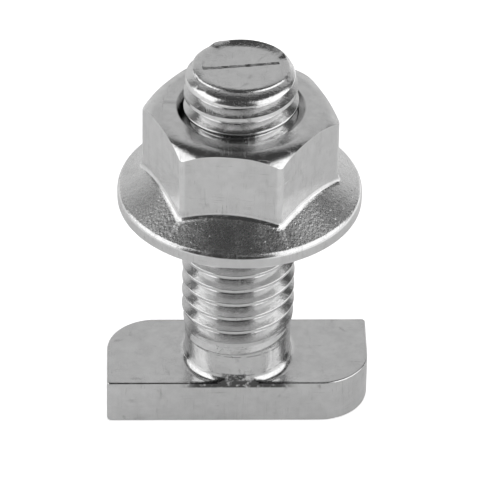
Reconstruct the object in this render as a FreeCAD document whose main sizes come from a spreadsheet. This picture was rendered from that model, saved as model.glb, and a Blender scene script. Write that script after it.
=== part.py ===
"""T-slot bolt with a hexagon flange nut run onto its thread.

Units are millimetres. The bolt stands on its hammer head: the origin is the centre of the head's
underside, +Z runs up the shank and +X along the head. The front of the object faces -Y.
"""
import FreeCAD, Part
import os
import Sketcher

DOC = FreeCAD.newDocument("t_slot_bolt")
VECTOR = FreeCAD.Vector

# Driving sizes. Every other size in the model is worked out from these.
SIZES = {
    # hammer head
    "head_length": 23.1,
    "head_width": 9.36,
    "head_height": 4.3,
    "head_turning_radius": 4.3,
    "head_corner_chamfer": 0.3,
    "head_top_chamfer": 0.16,
    "head_bottom_chamfer": 0.35,
    # neck and shank
    "bolt_length": 34.9,
    "neck_diameter": 9.3,
    "neck_height": 2.8,
    "foot_flare": 0.6,
    "crest_taper_height": 3.6,
    "end_face_diameter": 6.4,
    "end_bevel_width": 1.03,
    "end_bevel_drop": 0.3,
    "end_shoulder_height": 1.1,
    # right-hand thread, a V groove cut to about half the depth of the rolled one
    "thread_diameter": 9.88,
    "thread_pitch": 1.5,
    "thread_depth": 0.5,
    "flank_angle": 45.0,
    "thread_start": 6.425,
    "runout_height": 1.1,
    # line across the bolt's end that shows how the head lies in its slot
    "mark_width": 0.34,
    "mark_depth": 0.2,
    "mark_angle": 7.7,
    # flange nut, and how far below the bolt's end it is seated
    "nut_drop": 13.8,
    "nut_turn": -7.56,
    "nut_height": 9.6,
    "across_flats": 14.86,
    "hexagon_corner_chamfer": 0.22,
    "crown_diameter": 14.1,
    "crown_angle": 30.0,
    "flange_diameter": 21.2,
    "rim_height": 1.28,
    "flange_angle": 32.0,
    "rim_top_chamfer": 0.25,
    "rim_bottom_chamfer": 0.2,
    "countersink_diameter": 11.0,
    "countersink_angle": 45.0,
    # gap between the bolt's crests and the nut's bore
    "bore_clearance": 0.1,
    # how far a cutting profile stands past the surface that it cuts
    "cut_margin": 0.1,
}
TOUCH = 1e-6

# Radii and heights that several features share, as expressions in the sheet's sizes.
CREST_R = "sizes.thread_diameter / 2"
ROOT_R = f"({CREST_R} - sizes.thread_depth)"
NECK_R = "sizes.neck_diameter / 2"
NECK_TOP = "(sizes.head_height + sizes.neck_height)"
FOOT_R = f"({NECK_R} + sizes.foot_flare)"
FOOT_TOP = "(sizes.head_height + sizes.foot_flare)"
BORE_R = f"({CREST_R} + sizes.bore_clearance)"


def make_sheet():
    """The spreadsheet that holds the driving sizes, one named cell each."""
    sheet = DOC.addObject("Spreadsheet::Sheet", "sizes")
    for row, (alias, size) in enumerate(SIZES.items(), start=1):
        sheet.set(f"A{row}", alias)
        sheet.set(f"B{row}", str(size))
        sheet.setAlias(f"B{row}", alias)
    DOC.recompute()
    return sheet


def make_body(label):
    """An empty body, named after its node."""
    body = DOC.addObject("PartDesign::Body", label)
    body.Label = label
    return body


def make_sketch(body, name, role):
    """An empty sketch on one of a body's own origin planes."""
    sketch = body.newObject("Sketcher::SketchObject", name)
    plane = next(item for item in body.Origin.OriginFeatures if item.Role == role)
    sketch.AttachmentSupport = (plane, "")
    sketch.MapMode = "FlatFace"
    return sketch


def hold(sketch, kind, point, expression, label):
    """Tie one coordinate of a sketch point, a pair (geometry, end), to an expression."""
    if expression == "0":
        axis = -2 if kind == "DistanceX" else -1
        sketch.addConstraint(Sketcher.Constraint("PointOnObject", *point, axis))
        return
    index = sketch.addConstraint(Sketcher.Constraint(kind, -1, 1, *point, value(expression)))
    sketch.renameConstraint(index, label)
    sketch.setExpression(f"Constraints.{label}", expression)


def value(expression):
    """What an expression in the sheet's sizes comes to."""
    result = SHEET.evalExpression(expression)
    return float(getattr(result, "Value", result))


def draw_outline(sketch, corners):
    """Close a straight-sided outline through named corners, each (name, expression across, expression up)."""
    places = [VECTOR(value(across), value(up), 0) for _, across, up in corners]
    sides = [sketch.addGeometry(Part.LineSegment(place, places[(index + 1) % len(places)]))
             for index, place in enumerate(places)]
    for index, (name, across, up) in enumerate(corners):
        corner = (sides[index], 1)
        sketch.addConstraint(Sketcher.Constraint("Coincident", sides[index - 1], 2, *corner))
        hold(sketch, "DistanceX", corner, across, f"{name}_x")
        hold(sketch, "DistanceY", corner, up, f"{name}_y")


def full_turn(body, kind, name, sketch):
    """Turn a profile once round the body's vertical axis, adding or cutting as the kind says."""
    feature = body.newObject(kind, name)
    feature.Profile = sketch
    feature.ReferenceAxis = (sketch, ["V_Axis"])
    feature.Angle = 360
    DOC.recompute()
    return feature


def helical_cut(body, name, sketch, height):
    """Cut a right-hand helical groove with a profile that lies beside the vertical axis."""
    cut = body.newObject("PartDesign::SubtractiveHelix", name)
    cut.Profile = sketch
    cut.ReferenceAxis = (sketch, ["V_Axis"])
    cut.Mode = "pitch-height-angle"
    cut.setExpression("Pitch", "sizes.thread_pitch")
    cut.setExpression("Height", height)
    DOC.recompute()
    return cut


def pull(body, kind, name, sketch, length, **settings):
    """Pad or pocket a sketch by a length from the sheet."""
    feature = body.newObject(kind, name)
    feature.Profile = sketch
    feature.setExpression("Length", length)
    for setting, wanted in settings.items():
        setattr(feature, setting, wanted)
    DOC.recompute()
    return feature


def dress_edges(body, kind, name, base, chosen, width):
    """Fillet or chamfer those edges of a feature that the test chooses, by a size from the sheet."""
    names = [f"Edge{index}" for index, edge in enumerate(base.Shape.Edges, start=1) if chosen(edge)]
    dressed = body.newObject(kind, name)
    dressed.Base = (base, names)
    dressed.setExpression("Radius" if kind == "PartDesign::Fillet" else "Size", width)
    DOC.recompute()
    return dressed


def fillet(body, name, base, chosen, radius):
    """Round the chosen edges of a feature."""
    return dress_edges(body, "PartDesign::Fillet", name, base, chosen, radius)


def chamfer(body, name, base, chosen, width):
    """Bevel the chosen edges of a feature."""
    return dress_edges(body, "PartDesign::Chamfer", name, base, chosen, width)


def check_cut(before, after):
    """Stop where a cut has taken nothing away."""
    if after.Shape.Volume > before.Shape.Volume - TOUCH:
        raise RuntimeError(f"{after.Name} cuts nothing")
    return after


def is_upright(edge):
    """Whether an edge is a straight line along Z."""
    return edge.BoundBox.XLength + edge.BoundBox.YLength < TOUCH < edge.BoundBox.ZLength


def make_bolt():
    """Hammer head, neck and threaded shank, forged and rolled in one piece."""
    body = make_body("t_bolt")
    make_head(body)
    blank = trim_foot(body, make_shank(body))
    cut_thread(body, blank)
    score_end(body, fill_runout(body))
    return body


def make_head(body):
    """A flat bar with two opposite corners rounded, so that it turns only one way in its slot."""
    sketch = make_sketch(body, "head_outline", "XY_Plane")
    right, left = "sizes.head_length / 2", "-sizes.head_length / 2"
    back, front = "sizes.head_width / 2", "-sizes.head_width / 2"
    draw_outline(sketch, [
        ("front_left", left, front),
        ("front_right", right, front),
        ("back_right", right, back),
        ("back_left", left, back),
    ])
    bar = pull(body, "PartDesign::Pad", "head_bar", sketch, "sizes.head_height")
    top = value("sizes.head_height")

    def is_corner(edge):
        place = edge.CenterOfMass
        return is_upright(edge) and abs(place.x) > value(right) - TOUCH and abs(place.y) > value(back) - TOUCH

    def is_turning_corner(edge):
        return is_corner(edge) and edge.CenterOfMass.x * edge.CenterOfMass.y < 0

    def is_sharp_corner(edge):
        return is_corner(edge) and edge.CenterOfMass.x * edge.CenterOfMass.y > 0

    turned = fillet(body, "turning_corners", bar, is_turning_corner, "sizes.head_turning_radius")
    eased = chamfer(body, "eased_corners", turned, is_sharp_corner, "sizes.head_corner_chamfer")
    topped = chamfer(body, "head_top_edges", eased, lambda edge: edge.BoundBox.ZMin > top - TOUCH,
                     "sizes.head_top_chamfer")
    return chamfer(body, "head_bottom_edges", topped, lambda edge: edge.BoundBox.ZMax < TOUCH,
                   "sizes.head_bottom_chamfer")


def make_shank(body):
    """The blank that the thread is rolled on: flared foot, neck, crest cylinder and domed end."""
    sketch = make_sketch(body, "shank_profile", "XZ_Plane")
    face_r = "sizes.end_face_diameter / 2"
    draw_outline(sketch, [
        ("core", "0", "sizes.head_height / 2"),
        ("foot_inside", FOOT_R, "sizes.head_height / 2"),
        ("foot", FOOT_R, "sizes.head_height"),
        ("neck_foot", NECK_R, FOOT_TOP),
        ("neck_top", NECK_R, NECK_TOP),
        ("full_crest", CREST_R, f"{NECK_TOP} + sizes.crest_taper_height"),
        ("shoulder", CREST_R, "sizes.bolt_length - sizes.end_shoulder_height"),
        ("bevel", f"{face_r} + sizes.end_bevel_width", "sizes.bolt_length - sizes.end_bevel_drop"),
        ("face_edge", face_r, "sizes.bolt_length"),
        ("face_centre", "0", "sizes.bolt_length"),
    ])
    return full_turn(body, "PartDesign::Revolution", "shank", sketch)


def trim_foot(body, shank):
    """Take off the flared foot where it stands past the head's front and back faces."""
    sketch = make_sketch(body, "foot_overhang", "XY_Plane")
    reach = f"({FOOT_R} + sizes.cut_margin)"
    for side, sign in (("front", "-"), ("back", "")):
        near, far = f"{sign}sizes.head_width / 2", f"{sign}(sizes.head_width / 2 + {reach})"
        draw_outline(sketch, [
            (f"{side}_left_near", f"-{reach}", near),
            (f"{side}_right_near", reach, near),
            (f"{side}_right_far", reach, far),
            (f"{side}_left_far", f"-{reach}", far),
        ])
    return check_cut(shank, pull(body, "PartDesign::Pocket", "foot_trim", sketch, FOOT_TOP, Reversed=True))


def cut_thread(body, blank):
    """The helical V groove of the thread, from inside the neck to past the bolt's end."""
    sketch = make_sketch(body, "groove_profile", "XZ_Plane")
    mouth_r = f"{CREST_R} + sizes.cut_margin"
    half_mouth = "(sizes.thread_depth + sizes.cut_margin) * tan(sizes.flank_angle * 1deg)"
    draw_outline(sketch, [
        ("root", ROOT_R, "sizes.thread_start"),
        ("mouth_low", mouth_r, f"sizes.thread_start - {half_mouth}"),
        ("mouth_high", mouth_r, f"sizes.thread_start + {half_mouth}"),
    ])
    height = "sizes.bolt_length + sizes.thread_pitch - sizes.thread_start"
    return check_cut(blank, helical_cut(body, "thread", sketch, height))


def fill_runout(body):
    """The plain neck, with the cone on which the thread's root climbs out of the metal."""
    sketch = make_sketch(body, "runout_profile", "XZ_Plane")
    draw_outline(sketch, [
        ("core", "0", FOOT_TOP),
        ("neck_inside", NECK_R, FOOT_TOP),
        ("neck_top", NECK_R, NECK_TOP),
        ("root", ROOT_R, f"{NECK_TOP} + sizes.runout_height"),
        ("core_top", "0", f"{NECK_TOP} + sizes.runout_height"),
    ])
    return full_turn(body, "PartDesign::Revolution", "runout", sketch)


def score_end(body, threaded):
    """The V-shaped line across the bolt's end."""
    sketch = make_sketch(body, "mark_profile", "YZ_Plane")
    half_mouth = "sizes.mark_width / 2 * (1 + sizes.cut_margin / sizes.mark_depth)"
    draw_outline(sketch, [
        ("bottom", "0", "sizes.bolt_length - sizes.mark_depth"),
        ("right", half_mouth, "sizes.bolt_length + sizes.cut_margin"),
        ("left", f"-{half_mouth}", "sizes.bolt_length + sizes.cut_margin"),
    ])
    sketch.AttachmentOffset = FreeCAD.Placement(VECTOR(), FreeCAD.Rotation(VECTOR(0, 1, 0), 1))
    sketch.setExpression("AttachmentOffset.Rotation.Angle", "sizes.mark_angle * 1deg")
    length = "sizes.thread_diameter + sizes.cut_margin"
    return check_cut(threaded, pull(body, "PartDesign::Pocket", "end_mark", sketch, length, Midplane=True))


def make_nut():
    """Hexagon nut with a wide conical flange, all one piece, in its own frame on the flange's seat."""
    body = make_body("flange_nut")
    crown = cut_crown(body, make_hexagon(body))
    cut_bore(body, make_flange(body, crown))
    body.Placement = FreeCAD.Placement(VECTOR(), FreeCAD.Rotation(VECTOR(0, 0, 1), 1))
    body.setExpression("Placement.Base.z", "sizes.bolt_length - sizes.nut_drop")
    body.setExpression("Placement.Rotation.Angle", "sizes.nut_turn * 1deg")
    return body


def make_hexagon(body):
    """The wrench hexagon, with one flat to the front and slightly blunted corners."""
    sketch = make_sketch(body, "hexagon_outline", "XY_Plane")
    flat, corner = "sizes.across_flats / 2", "sizes.across_flats / sqrt(3)"
    draw_outline(sketch, [
        ("front_left", f"-{corner} / 2", f"-{flat}"),
        ("front_right", f"{corner} / 2", f"-{flat}"),
        ("right", corner, "0"),
        ("back_right", f"{corner} / 2", flat),
        ("back_left", f"-{corner} / 2", flat),
        ("left", f"-{corner}", "0"),
    ])
    prism = pull(body, "PartDesign::Pad", "hexagon", sketch, "sizes.nut_height")
    return chamfer(body, "hexagon_corners", prism, is_upright, "sizes.hexagon_corner_chamfer")


def cut_crown(body, hexagon):
    """The turned chamfer that leaves arcs on the hexagon's faces below its top."""
    sketch = make_sketch(body, "crown_profile", "XZ_Plane")
    crown_r = "sizes.crown_diameter / 2"
    outer_r = "(sizes.across_flats / sqrt(3) + sizes.cut_margin)"
    draw_outline(sketch, [
        ("top", crown_r, "sizes.nut_height"),
        ("low", outer_r, f"sizes.nut_height - ({outer_r} - {crown_r}) * tan(sizes.crown_angle * 1deg)"),
        ("high", outer_r, "sizes.nut_height"),
    ])
    return check_cut(hexagon, full_turn(body, "PartDesign::Groove", "crown", sketch))


def make_flange(body, crown):
    """The flange: flat seat, short upright rim and a cone that climbs to the hexagon's faces."""
    sketch = make_sketch(body, "flange_profile", "XZ_Plane")
    rim_r, slope = "sizes.flange_diameter / 2", "sizes.flange_angle * 1deg"
    cone_top = f"sizes.rim_height + ({rim_r} - {BORE_R}) * tan({slope})"
    draw_outline(sketch, [
        ("seat_centre", "0", "0"),
        ("seat_edge", f"{rim_r} - sizes.rim_bottom_chamfer", "0"),
        ("rim_low", rim_r, "sizes.rim_bottom_chamfer"),
        ("rim_high", rim_r, "sizes.rim_height - sizes.rim_top_chamfer"),
        ("cone_foot", f"{rim_r} - sizes.rim_top_chamfer * cos({slope})",
         f"sizes.rim_height + sizes.rim_top_chamfer * sin({slope})"),
        ("cone_top", BORE_R, cone_top),
        ("core_top", "0", cone_top),
    ])
    return full_turn(body, "PartDesign::Revolution", "flange", sketch)


def cut_bore(body, flange):
    """The bore, countersunk at both ends."""
    sketch = make_sketch(body, "bore_profile", "XZ_Plane")
    slope = "tan(sizes.countersink_angle * 1deg)"
    mouth_r = f"(sizes.countersink_diameter / 2 + sizes.cut_margin * {slope})"
    depth = f"(sizes.countersink_diameter / 2 - {BORE_R}) / {slope}"
    draw_outline(sketch, [
        ("bottom_centre", "0", "-sizes.cut_margin"),
        ("bottom_mouth", mouth_r, "-sizes.cut_margin"),
        ("bore_low", BORE_R, depth),
        ("bore_high", BORE_R, f"sizes.nut_height - {depth}"),
        ("top_mouth", mouth_r, "sizes.nut_height + sizes.cut_margin"),
        ("top_centre", "0", "sizes.nut_height + sizes.cut_margin"),
    ])
    return check_cut(flange, full_turn(body, "PartDesign::Groove", "bore", sketch))


def check_and_write(bodies):
    """Stop at any failed object or broken solid, then write one STEP file for each sub-part."""
    DOC.recompute()
    failed = [item.Name for item in DOC.Objects if {"Invalid", "Error"} & set(item.State)]
    if failed:
        raise RuntimeError(f"not computed: {failed}")
    for body in bodies:
        if body.Shape.isNull() or not body.Shape.isValid() or len(body.Shape.Solids) != 1:
            raise RuntimeError(f"{body.Label} is not one valid solid")
    os.makedirs("parts", exist_ok=True)
    for body in bodies:
        body.Shape.exportStep(f"parts/{body.Label}.step")
        box = body.Shape.optimalBoundingBox(False)
        print(f"{body.Label}: {body.Shape.Volume:.1f} mm3, Z {box.ZMin:.2f} to {box.ZMax:.2f}")


SHEET = make_sheet()
check_and_write([make_bolt(), make_nut()])
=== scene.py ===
"""Looks of a T-slot bolt with a hexagon flange nut run onto its thread, in bright zinc plate.

The bolt stands on its hammer head. Sizes are in millimetres, +Z runs up the shank, +X along the head,
and the front of the object faces -Y. Meshes are modelled in millimetres and end up in metres.
"""

import logging
import math
from collections.abc import Callable, Iterable
from dataclasses import dataclass, field
from enum import Enum
from functools import reduce

import bmesh
import bpy
from mathutils import Matrix, Vector

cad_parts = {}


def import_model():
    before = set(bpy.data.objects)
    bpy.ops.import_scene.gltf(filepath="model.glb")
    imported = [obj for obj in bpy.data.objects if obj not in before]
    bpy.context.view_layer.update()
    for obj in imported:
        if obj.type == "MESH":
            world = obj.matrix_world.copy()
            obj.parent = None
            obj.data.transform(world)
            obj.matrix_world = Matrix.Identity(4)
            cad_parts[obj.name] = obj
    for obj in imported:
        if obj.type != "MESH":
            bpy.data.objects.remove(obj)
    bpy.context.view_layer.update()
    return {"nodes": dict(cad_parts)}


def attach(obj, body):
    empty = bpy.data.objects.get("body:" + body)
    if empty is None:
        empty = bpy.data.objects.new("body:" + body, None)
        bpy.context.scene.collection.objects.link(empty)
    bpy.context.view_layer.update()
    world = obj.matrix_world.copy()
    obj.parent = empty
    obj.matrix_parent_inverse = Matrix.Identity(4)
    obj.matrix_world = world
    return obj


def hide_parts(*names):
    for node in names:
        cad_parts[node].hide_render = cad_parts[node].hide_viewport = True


LOG = logging.getLogger("t_slot_bolt")
METRES_PER_MM = 0.001
SENSOR_WIDTH = 36.0

# Gaps in millimetres. Points nearer than these are merged, or count as being at one place.
MERGE_GAP = 4e-4
AXIS_GAP = 1e-5
COIL_GAP = 1e-3
CUT_GAP = 1e-6
PLACE_GAP = 1e-4
SIDE_GAP = 1e-3

# An edge of a plain block or prism that rises by more than this is one of its uprights.
UPRIGHT_RISE = 1.0

# A face whose normal has a Z below this looks down.
LOOKS_DOWN = -0.5

Ramp = tuple[float, float]
Triple = tuple[float, float, float]
Socket = bpy.types.NodeSocket
Given = Socket | float | Triple


class Element(Enum):
    """A kind of mesh element."""

    VERTEX = "VERT"
    EDGE = "EDGE"
    FACE = "FACE"


class Join(Enum):
    """How one solid is put together with another."""

    ADD = "UNION"
    TAKE_OFF = "DIFFERENCE"
    KEEP_COMMON = "INTERSECT"


class Inlet(Enum):
    """A kind of input of a node group."""

    VECTOR = "NodeSocketVector"
    NUMBER = "NodeSocketFloat"


# Bench work on meshes


def clear_selection() -> None:
    """Leave edit mode and select nothing."""
    if bpy.context.mode != "OBJECT":
        bpy.ops.object.mode_set(mode="OBJECT")
    bpy.ops.object.select_all(action="DESELECT")


def pick(piece: bpy.types.Object) -> None:
    """Make a piece the only one that is selected, and the active one.

    Args:
        piece: The piece.
    """
    clear_selection()
    piece.select_set(True)
    bpy.context.view_layer.objects.active = piece


def open_mesh(piece: bpy.types.Object, part: Element = Element.VERTEX) -> bmesh.types.BMesh:
    """Open a piece in edit mode, all of it selected.

    Args:
        piece: The piece.
        part: Kind of element that is selected.

    Returns:
        The mesh being edited.
    """
    pick(piece)
    bpy.ops.object.mode_set(mode="EDIT")
    bpy.ops.mesh.select_mode(type=part.value)
    bpy.ops.mesh.select_all(action="SELECT")
    return bmesh.from_edit_mesh(piece.data)


def select_where(piece: bpy.types.Object, part: Element, wanted: Callable[..., bool]) -> int:
    """Open a piece in edit mode with only those elements selected that a test picks.

    Args:
        piece: The piece.
        part: Kind of element.
        wanted: Says whether an element is to be selected.

    Returns:
        How many elements the test picked.
    """
    mesh = open_mesh(piece, part)
    bpy.ops.mesh.select_all(action="DESELECT")
    elements = {Element.VERTEX: mesh.verts, Element.EDGE: mesh.edges, Element.FACE: mesh.faces}[part]
    chosen = [element for element in elements if wanted(element)]
    for element in chosen:
        element.select_set(True)
    bmesh.update_edit_mesh(piece.data)
    return len(chosen)


def adopt(name: str) -> bpy.types.Object:
    """Take over the primitive that was just added.

    Args:
        name: Name that it and its mesh get.

    Returns:
        The new piece.
    """
    piece = bpy.context.active_object
    piece.name = piece.data.name = name
    return piece


def settle(name: str) -> bpy.types.Object:
    """Take over the primitive that was just added, with its place and size put into its mesh.

    Args:
        name: Name that it and its mesh get.

    Returns:
        The new piece.
    """
    piece = adopt(name)
    bpy.ops.object.transform_apply(location=True, rotation=True, scale=True)
    return piece


def add_block(name: str, centre: Triple, size: Triple) -> bpy.types.Object:
    """Add a block, as the start of a piece or as a tool.

    Args:
        name: Name of the block.
        centre: Its middle.
        size: Its length, width and height.

    Returns:
        The block.
    """
    clear_selection()
    bpy.ops.mesh.primitive_cube_add(size=1.0, location=centre, scale=size)
    return settle(name)


def apply_modifier(piece: bpy.types.Object, kind: str, **settings: object) -> None:
    """Give a piece one modifier and apply it.

    Args:
        piece: The piece.
        kind: Blender's name for the kind of modifier.
        **settings: The modifier's settings.
    """
    pick(piece)
    modifier = piece.modifiers.new(kind.lower(), kind)
    for setting, chosen in settings.items():
        setattr(modifier, setting, chosen)
    bpy.ops.object.modifier_apply(modifier=modifier.name)


def combine(piece: bpy.types.Object, tool: bpy.types.Object, how: Join) -> None:
    """Join a tool's solid to a piece, and remove the tool."""
    apply_modifier(piece, "BOOLEAN", operation=how.value, solver="MANIFOLD", object=tool)
    bpy.data.objects.remove(tool)


def trace_profile(name: str, outline: list[tuple[float, float]]) -> bpy.types.Object:
    """Draw a chain of edges in the XZ plane, point by point.

    Args:
        name: Name of the new piece.
        outline: Radius and height of each point.

    Returns:
        The piece, whose mesh is the open chain.
    """
    clear_selection()
    (radius, height), others = outline[0], outline[1:]
    bpy.ops.mesh.primitive_plane_add(size=1.0)
    piece = adopt(name)
    open_mesh(piece)
    bpy.ops.mesh.merge(type="CENTER")
    bpy.ops.transform.translate(value=(radius, 0.0, height))
    for next_radius, next_height in others:
        step = (next_radius - radius, 0.0, next_height - height)
        bpy.ops.mesh.extrude_vertices_move(TRANSFORM_OT_translate={"value": step})
        radius, height = next_radius, next_height
    bpy.ops.object.mode_set(mode="OBJECT")
    return piece


def ease_profile(piece: bpy.types.Object, at: Iterable[tuple[float, float]], setback: float,
                 segments: int) -> None:
    """Round chosen corners of a profile.

    Args:
        piece: The traced profile.
        at: Radius and height of each corner.
        setback: Distance from the corner to where the rounding begins.
        segments: Edges in each rounding.
    """
    corners = [Vector((radius, 0.0, height)) for radius, height in at]
    select_where(piece, Element.VERTEX,
                 lambda vertex: any((vertex.co - corner).length < PLACE_GAP for corner in corners))
    bpy.ops.mesh.bevel(offset=setback, segments=segments, affect="VERTICES")
    bpy.ops.object.mode_set(mode="OBJECT")


def turn_profile(piece: bpy.types.Object, steps: int) -> None:
    """Turn a profile that begins and ends on the Z axis into a closed solid."""
    apply_modifier(piece, "SCREW", axis="Z", angle=math.tau, steps=steps, render_steps=steps,
                   use_merge_vertices=True, merge_threshold=AXIS_GAP)
    tidy_solid(piece)


def tidy_solid(piece: bpy.types.Object) -> None:
    """Merge doubled vertices, drop loose edges and turn every face outwards.

    Args:
        piece: The piece, in millimetres.
    """
    open_mesh(piece)
    bpy.ops.mesh.remove_doubles(threshold=MERGE_GAP)
    bpy.ops.mesh.delete_loose()
    bpy.ops.mesh.select_all(action="SELECT")
    bpy.ops.mesh.normals_make_consistent(inside=False)
    bpy.ops.object.mode_set(mode="OBJECT")


def is_upright(edge: bmesh.types.BMEdge) -> bool:
    """Whether an edge of a plain block or prism is one of its uprights."""
    return abs(edge.verts[0].co.z - edge.verts[1].co.z) > UPRIGHT_RISE


def is_level(edge: bmesh.types.BMEdge, height: float) -> bool:
    """Whether both ends of an edge lie at a height."""
    return all(abs(vertex.co.z - height) < PLACE_GAP for vertex in edge.verts)


def bevel_edges(piece: bpy.types.Object, wanted: Callable[[bmesh.types.BMEdge], bool], setback: float,
                segments: int) -> int:
    """Round the edges that a test picks.

    Args:
        piece: The piece.
        wanted: Says whether an edge is to be rounded.
        setback: Distance from the edge to where the rounding begins.
        segments: Faces across each rounding.

    Returns:
        How many edges the test picked.
    """
    count = select_where(piece, Element.EDGE, wanted)
    bpy.ops.mesh.bevel(offset=setback, segments=segments, affect="EDGES", clamp_overlap=False)
    bpy.ops.object.mode_set(mode="OBJECT")
    return count


def cut_level(piece: bpy.types.Object, height: float, keep_above: bool) -> None:
    """Cut a piece off square at a height and close the cut.

    Args:
        piece: The piece.
        height: Height of the cut.
        keep_above: Whether the part above the cut stays.
    """
    open_mesh(piece)
    bpy.ops.mesh.bisect(plane_co=(0.0, 0.0, height), plane_no=(0.0, 0.0, 1.0), use_fill=True,
                        clear_inner=keep_above, clear_outer=not keep_above, threshold=CUT_GAP)
    bpy.ops.object.mode_set(mode="OBJECT")


def turn_about_z(piece: bpy.types.Object, degrees: float) -> None:
    """Turn a piece's mesh about the Z axis, counterclockwise as seen from above."""
    piece.data.transform(Matrix.Rotation(math.radians(degrees), 4, "Z"))


def finish_mesh(piece: bpy.types.Object, sharp_angle: float) -> None:
    """Bring a piece from millimetres to metres and smooth its faces.

    Args:
        piece: The piece.
        sharp_angle: Edges that bend by more than this many degrees stay crisp.
    """
    tidy_solid(piece)
    bpy.ops.transform.resize(value=(METRES_PER_MM,) * 3, center_override=(0.0, 0.0, 0.0))
    bpy.ops.object.transform_apply(location=True, rotation=True, scale=True)
    bpy.ops.object.shade_smooth_by_angle(angle=math.radians(sharp_angle))
    apply_modifier(piece, "WEIGHTED_NORMAL", mode="FACE_AREA", weight=90, keep_sharp=True)


def arc_points(centre: tuple[float, float], radius: float, start: float, end: float,
               count: int) -> list[tuple[float, float]]:
    """Points along an arc of a profile.

    Args:
        centre: Radius and height of the arc's centre.
        radius: The arc's own radius.
        start: Angle of the first point, in degrees from outwards towards up.
        end: Angle of the last point.
        count: Number of points.

    Returns:
        Radius and height of each point.
    """
    turns = [math.radians(start + (end - start) * step / (count - 1)) for step in range(count)]
    return [(centre[0] + radius * math.cos(turn), centre[1] + radius * math.sin(turn)) for turn in turns]


def moved(ramp: Ramp, by: float) -> Ramp:
    """A range moved along by a distance."""
    return ramp[0] + by, ramp[1] + by


# Short ways to wire nodes


@dataclass(frozen=True)
class Spot:
    """Where a point of the surface lies, in millimetres, as sockets among one material's nodes.

    position is the whole place, height its Z, and across its distance from the bolt's axis.
    """

    position: Socket
    x: Socket
    y: Socket
    height: Socket
    across: Socket


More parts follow.
